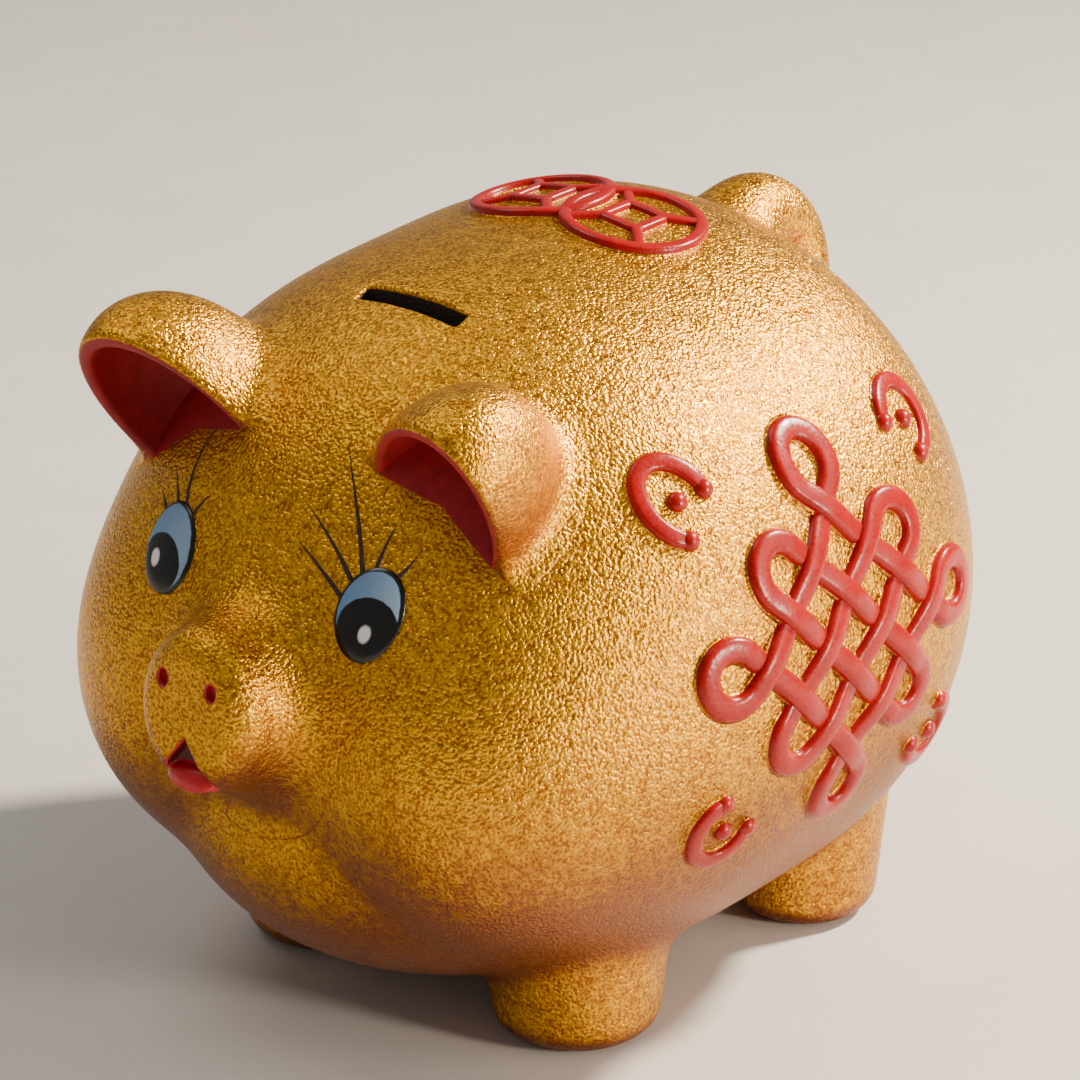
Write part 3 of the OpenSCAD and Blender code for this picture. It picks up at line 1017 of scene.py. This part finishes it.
def knotLoops():
    # The three closed loops of the knot, each point with how far it lifts at a crossing.
    pitch, count = band["pitch"], band["bands"]
    half = pitch * (count - 1) / 2
    edge = half + pitch / 2
    line = [pitch * i - half for i in range(count)]

    def run(i, upright, forward):
        # One straight band, which goes over and under the ones it meets in turn.
        t = np.linspace(-edge, edge, band["runPoints"])[::1 if forward else -1]
        wave = np.cos(math.pi * (t - line[0]) / pitch) * (-1) ** i
        return stack(line[i], t, wave) if upright else stack(t, line[i], -wave)

    def loop(middle, start, end):
        return arcPoints(middle, pitch / 2, start, end)[1:-1]

    middle = (line[1] + line[2]) / 2
    tall = np.concatenate([
        run(1, True, True), loop((middle, edge), 180, 0),
        run(2, True, False), loop((middle, -edge), 0, -180),
    ])
    flat = np.concatenate([
        run(1, False, True), loop((edge, middle), -90, 90),
        run(2, False, False), loop((-edge, middle), 90, 270),
    ])
    outer = np.concatenate([
        run(3, True, True), loop((edge, edge), 180, -90),
        run(3, False, False), loop((-edge, edge), 270, 0),
        run(0, True, False), loop((-edge, -edge), 0, -270),
        run(0, False, True), loop((edge, -edge), 90, -180),
    ])
    return tall, flat, outer, edge


def turnPoints(points, degrees):
    a = math.radians(degrees)
    x, y, lift = np.asarray(points, float).T
    return stack(x * math.cos(a) - y * math.sin(a), x * math.sin(a) + y * math.cos(a), lift)


def makeKnot(name, node, side):
    middle = middleOf(node)
    width = band["bandWidth"]

    def onSkin(flat):
        # Flat points (along, up, lift) put on the flank, with the way out of the skin there.
        start = stack(side * pig["clear"], middle[1] + flat[:, 0], middle[2] + flat[:, 1])
        return ontoSkin(start, (float(side), 0.0, 0.0), lift=flat[:, 2] * band["lift"])

    paths, spots = [], []
    *loops, edge = knotLoops()
    for loop in loops:
        points, out = onSkin(spread(turnPoints(loop, 45), band["spacing"], True))
        paths.append((points, out, np.ones(len(points)), True))
    # A cloud scroll with a bead at each end and one in its middle stands off each side of the knot.
    radius, girth, mouth = band["scrollRadius"], band["scrollGirth"], band["scrollMouth"]
    half = width * girth / 2
    away = math.sqrt(2) * edge + (band["pitch"] + width) / 2 - radius - half
    for quarter in range(4):
        arc = turnPoints(arcPoints((0, 0), radius, mouth, 360 - mouth, 40), 45) - (away, away, 0)
        arc = turnPoints(arc, 90 * quarter)
        points, out = onSkin(spread(arc, band["spacing"], False))
        ease = np.minimum(np.arange(len(points)), np.arange(len(points))[::-1]) / 3
        paths.append((points, out, girth * np.minimum(1, 0.8 + 0.2 * ease), False))
        middles = turnPoints([(-away, -away, 0)], 90 * quarter)
        points, out = onSkin(np.concatenate([arc[:1], arc[-1:], middles]))
        spots += zip(points, out, (1.12 * half, 1.12 * half, band["bead"]))
    piece = sweepBands(name, paths, spots, width, band["bandHeight"], redEnamel)
    declare(piece, "bank", node)


makeKnot("knotLeft", "knot_left", 1)
makeKnot("knotRight", "knot_right", -1)
print("knots made")


rings = {
    "ringWidth": 3.6,
    "ringHeight": 1.9,
    "lift": 0.5,
    "eye": 11,
    "thin": 0.84,       # girth of the eyes and spokes
    "fine": 0.8,        # mm between their points
}


def makeRings():
    low, high = boxMm("linked_rings")
    middle = (low + high) / 2
    width = rings["ringWidth"]
    radius = (high[1] - low[1]) / 2 - width / 2
    step = (high[0] - low[0]) / 2 - radius - width / 2
    cross = math.degrees(math.acos(step / radius))
    half = rings["eye"] / 2
    paths = []

    def addPath(flat, spacing, girth, closed):
        x, y, lift = spread(flat, spacing, closed).T
        points, out = ontoBack(middle[0] + x, middle[1] + y, lift * rings["lift"])
        paths.append((points, out, np.full(len(points), girth), closed))

    for side in (-1, 1):
        shift = side * step
        circle = arcPoints((shift, 0), radius, 0, 357.5, 144)
        # The two rings are linked: each goes over the other once and under it once.
        a = np.linspace(0, 357.5, 144)
        near = ((a if side < 0 else 180 - a) + 180) % 360 - 180
        circle[:, 2] = np.exp(-((near - cross) / 14) ** 2) - np.exp(-((near + cross) / 14) ** 2)
        addPath(circle, band["spacing"], 1.0, True)
        x, y = roundedBox(half, half, 1.4, 4).T
        addPath(stack(x + shift, y, 0), rings["fine"], rings["thin"], True)
        for a in np.radians((45, 135, 225, 315)):
            reach = np.array([half * 1.25, radius - 0.4])
            line = stack(reach * math.cos(a) + shift, reach * math.sin(a), 0)
            addPath(line, rings["fine"], rings["thin"], False)
    piece = sweepBands("linkedRings", paths, [], width, rings["ringHeight"], redEnamel)
    declare(piece, "bank", "linked_rings")


makeRings()
print("rings made")


# eyes

eyeShape = {
    "rings": 34,
    "spokes": 84,
    "rise": 0.75,
    "dome": 0.8,
    "bed": 0.5,
    "outline": 0.95,
    "ahead": -150,      # farther forward than the face
    # Painted shapes: middle and half size, in mm across and up from the eye's middle.
    "left": {"pupil": ((0.7, -3.1), (7.9, 6.9)), "glint": ((1.1, -3.9), (1.55, 1.8))},
    "right": {"pupil": ((-1.0, -3.5), (7.0, 6.3)), "glint": ((-2.8, -2.9), (1.5, 1.9))},
}


def eyeMaterial():
    # Hand-painted eye under clear enamel: blue-grey above, a large black pupil, a white glint and a
    # dark outline, all with the enamel's wet shine. The painted shapes are distances kept on the mesh.
    material, tree, shader, place3d = startMaterial("paintedEyeEnamel")
    coat = {
        "colour": fromHex("#5E86B4"),
        "rough": speckle(tree, place3d, 4.0, spread=(0.3, 0.7), reach=(0.2, 0.3)),
        "height": speckle(tree, place3d, 1.4),
    }
    fade = addNode(tree, "ShaderNodeAttribute", give="Fac", attribute_name="fade")
    layOver(tree, fade, coat, {"colour": fromHex("#93B0CC")})
    for attribute, start, paint in (
        ("ball", -0.12, "#090809"), ("pupil", 0.12, "#060707"), ("glint", 0.3, "#F2EEEF"),
    ):
        part = handEdge(tree, place3d, attribute, start, -start, 2.5, 0.4, 1.0)
        layOver(tree, part, coat, {"colour": fromHex(paint)})
    finishCoat(tree, shader, coat, 0.02)
    return material


eyeLow, eyeHigh = boxMm("eye_left")
eyeHalf = (eyeHigh - eyeLow)[[0, 2]] / 2
eyeEnamel = eyeMaterial()


def onFace(node, flat, rounds=14):
    # Flat points (across, up from the middle of a node) put on the face, with the way out there.
    middle = middleOf(node)
    start = stack(middle[0] + flat[:, 0], eyeShape["ahead"], middle[2] + flat[:, 1])
    return ontoSkin(start, (0.0, -1.0, 0.0), rounds)


def farFrom(flat, middle, half):
    # About how far flat points lie outside an ellipse.
    return (np.linalg.norm((flat - middle) / half, axis=1) - 1) * min(half)


def makeEye(name, node, painted):
    # A low dome of rings and spokes on the face, closed by the same shape behind it.
    spokes, ringCount = eyeShape["spokes"], eyeShape["rings"]
    a = np.linspace(0, 2 * math.pi, spokes, endpoint=False)
    part = np.sin(math.pi / 2 * np.arange(1, ringCount + 1) / ringCount)
    disc = np.stack([np.outer(part, np.cos(a)).ravel(), np.outer(part, np.sin(a)).ravel()], 1)
    flat = np.concatenate([[(0, 0)], disc * eyeHalf])
    part = np.concatenate([[0], np.repeat(part, spokes)])
    height = eyeShape["rise"] * np.sqrt(np.maximum(1 - part ** 8, 0)) + eyeShape["dome"] * (1 - part ** 2)
    skin, out = onFace(node, flat)
    points = np.concatenate([skin + out * height[:, None], skin - out * eyeShape["bed"]])
    count = len(flat)
    p = 1 + np.arange(spokes)
    q = np.roll(p, -1)
    faces = list(np.stack([p * 0, p, q], 1))
    for _ in range(ringCount - 1):
        faces += list(np.stack([p, p + spokes, q + spokes, q], 1))
        p, q = p + spokes, q + spokes
    faces += [face[::-1] + count for face in faces]
    faces += list(np.stack([p, p + count, q + count, q], 1))
    values = {
        "ball": farFrom(flat, (0, 0), eyeHalf - eyeShape["outline"]),
        "pupil": farFrom(flat, *painted["pupil"]),
        "glint": farFrom(flat, *painted["glint"]),
        "fade": np.clip(0.5 + flat[:, 0] / eyeHalf[0] * 0.5, 0, 1),
    }
    values = {key: np.tile(numbers, 2) for key, numbers in values.items()}
    piece = meshPiece(name, points, faces, eyeEnamel, values)
    work = bmesh.new()
    work.from_mesh(piece.data)
    bmesh.ops.recalc_face_normals(work, faces=work.faces)
    work.to_mesh(piece.data)
    work.free()
    declare(piece, "bank", node)


makeEye("eyeLeft", "eye_left", eyeShape["left"])
makeEye("eyeRight", "eye_right", eyeShape["right"])
print("eyes made")


# lashes

lashShape = {
    "width": 1.15,
    "height": 0.22,
    "points": 26,
    # Points along each stroke from its root, in mm outward and up from the eye's middle.
    "left": [
        [(-8.3, 2.6), (-16.4, 7.7), (-23.6, 11.7)],
        [(-6.9, 6.4), (-15.0, 13.4), (-24.0, 19.1)],
        [(-4.6, 8.4), (-11.3, 20.5), (-20.1, 31.9)],
        [(-1.6, 9.6), (-1.3, 14.2), (-0.7, 19.2)],
        [(3.9, 8.6), (5.5, 10.8), (6.8, 13.6)],
    ],
    "right": [
        [(6.2, 6.6), (8.2, 8.2), (11.0, 9.6)],
        [(2.6, 9.2), (4.6, 11.6), (8.0, 14.4)],
        [(-1.2, 9.6), (1.0, 15.0), (1.0, 22.0), (-2.6, 28.0)],
        [(-4.4, 8.6), (-6.0, 11.2), (-8.6, 14.4)],
    ],
}


def lashMaterial():
    # Umber brush paint, matt and thin.
    material, tree, shader, place3d = startMaterial("umberBrushPaint")
    finishCoat(tree, shader, {
        "colour": twoTone(tree, place3d, ("#23120A", "#3C2112"), 1.2, 2.0),
        "rough": speckle(tree, place3d, 1.2, spread=(0.3, 0.7), reach=(0.45, 0.6)),
        "height": speckle(tree, place3d, gold["grain"]),
    }, 0.06)
    return material


umberPaint = lashMaterial()


def makeLashes(name, node, strokes, mirror):
    t = np.linspace(0, 1, lashShape["points"])
    paths = []
    for stroke in strokes:
        fit = np.polyfit(np.linspace(0, 1, len(stroke)), np.array(stroke), len(stroke) - 1)
        line = np.stack([mirror * np.polyval(fit[:, 0], t), np.polyval(fit[:, 1], t)], 1)
        points, out = onFace(node, line, 30)
        paths.append((points, out, 0.12 + 0.88 * (1 - t) ** 0.9, False))
    piece = sweepBands(name, paths, [], lashShape["width"], lashShape["height"], umberPaint)
    declare(piece, "bank")


makeLashes("lashesLeft", "eye_left", lashShape["left"], 1)
makeLashes("lashesRight", "eye_right", lashShape["right"], -1)
bpy.data.objects.remove(profileObject)
print("lashes made")


# stopper

def rubberMaterial():
    # Moulded soft PVC: dark, dull, with the fine bloom of the mould.
    material, tree, shader, place3d = startMaterial("mouldedSoftVinyl")
    finishCoat(tree, shader, {
        "colour": twoTone(tree, place3d, ("#1E1C1B", "#2C2927"), 6.0, spread=(0.35, 0.65)),
        "rough": speckle(tree, place3d, 6.0, 3.0, (0.35, 0.65), (0.5, 0.66)),
        "height": speckle(tree, place3d, 0.8),
    }, 0.03)
    return material


def makeStopper():
    grip, nose, wall, edge = (stopperShape[key] for key in ("gripHeight", "nose", "wall", "round"))
    bottom, top = stopLow[2] + grip, stopHigh[2]
    plugR = boreR - stopperShape["plugGap"]
    tipR = plugR - nose / 2
    innerR = tipR - wall
    # Radius and height along the plug's section, from the middle of its flange round to its hollow.
    profile = [(0.5, bottom), (flangeR - edge * 2, bottom)]
    profile += [
        (flangeR - edge + edge * math.sin(t), bottom + edge - edge * math.cos(t))
        for t in np.linspace(0, math.pi / 2, 5)
    ]
    profile += [
        (flangeR, seatZ - 0.3), (flangeR - 0.3, seatZ), (plugR + 0.5, seatZ), (plugR, seatZ + 0.5),
        (plugR, collarTop), (tipR + 0.6, top - 0.6), (tipR, top), (innerR + 0.6, top),
        (innerR, top - 0.6), (innerR, seatZ + 1), (innerR - 1, seatZ), (0.5, seatZ),
    ]
    plug = loftRings([circleAt(r, z) for r, z in profile])
    piece = meshPiece("bellyStopper", *plug, rubberMaterial())
    bar = []
    for z, inset in ((-grip, 0.7), (0.2 - grip, 0.22), (0.7 - grip, 0.0), (0.6, 0.0)):
        x, y = roundedBox(
            stopperShape["gripLength"] / 2 - inset, stopperShape["gripWidth"] / 2 - inset,
            stopperShape["gripCorner"] - inset, 6,
        ).T
        bar.append(stack(x + holeMiddle[0], y + holeMiddle[1], bottom + z))
    combine(piece, [meshPiece("grip", *loftRings(bar), None)], "UNION")
    sharpenEdges(piece, 50)
    declare(piece, "stopper", "stopper")


makeStopper()
print("stopper made")


# floor, light and camera

studio = {
    "floor": ("#CFCCC7", "#D4D1CC"),
    "world": "#F4F2EE",
    "worldStrength": 0.34,
    "floorHalf": 6.0,   # m
}


def makeFloor():
    half = studio["floorHalf"]
    corners = [(-half, -half, 0), (half, -half, 0), (half, half, 0), (-half, half, 0)]
    # Pale cardboard, matt, with a faint cloudiness.
    material, tree, shader, place3d = startMaterial("paleCardboard")
    tree.links.new(twoTone(tree, place3d, studio["floor"], 40.0), shader.inputs["Base Color"])
    shader.inputs["Roughness"].default_value = 0.8
    meshPiece("floor", np.array(corners) / mm, [(0, 1, 2, 3)], material)


def makeWorld():
    world = bpy.data.worlds.new("studio")
    bpy.context.scene.world = world
    world.use_nodes = True
    background = world.node_tree.nodes["Background"]
    background.inputs["Color"].default_value = fromHex(studio["world"])
    background.inputs["Strength"].default_value = studio["worldStrength"]


# Azimuth, elevation and distance in m, size in m, watts and hue.
lights = {
    "key": (150, 42, 1.3, 0.16, 52, "#FFF0D8"),
    "side": (98, 9, 1.0, 0.18, 9, "#FFEFD8"),
    "softbox": (116, 24, 1.3, 0.8, 4.5, "#FFF6E6"),
    "top": (-75, 60, 1.5, 0.8, 6, "#FFF8F0"),
}
cameraSettings = {
    "azimuth": 40.76,
    "elevation": 21.72,
    "distance": 1.150,
    "height": 0.107,
    "sensor": 36.0,
    "lens": 153.33,
}
target = Vector((0, place((0, 0, 0))[1] * mm, cameraSettings["height"]))


def aim(name, data, azimuth, elevation, distance):
    # Stands a lamp or the camera round the pig, looking at it. Azimuth 0 is in front of its face.
    a, e = math.radians(azimuth), math.radians(elevation)
    way = Vector((math.sin(a) * math.cos(e), -math.cos(a) * math.cos(e), math.sin(e)))
    holder = link(name, data)
    holder.location = target + way * distance
    holder.rotation_euler = (-way).to_track_quat("-Z", "Y").to_euler()
    return holder


def makeLights():
    for name, (azimuth, elevation, distance, size, watts, hue) in lights.items():
        lamp = bpy.data.lights.new(name, "AREA")
        lamp.shape = "DISK"
        lamp.size = size
        lamp.energy = watts
        lamp.color = fromHex(hue)[:3]
        aim(name, lamp, azimuth, elevation, distance)


def makeCamera():
    data = bpy.data.cameras.new("camera")
    data.sensor_width = cameraSettings["sensor"]
    data.lens = cameraSettings["lens"]
    data.clip_start, data.clip_end = 0.01, 30
    bpy.context.scene.camera = aim(
        "camera", data, *(cameraSettings[key] for key in ("azimuth", "elevation", "distance")),
    )


makeFloor()
makeWorld()
makeLights()
makeCamera()
print("stage made")
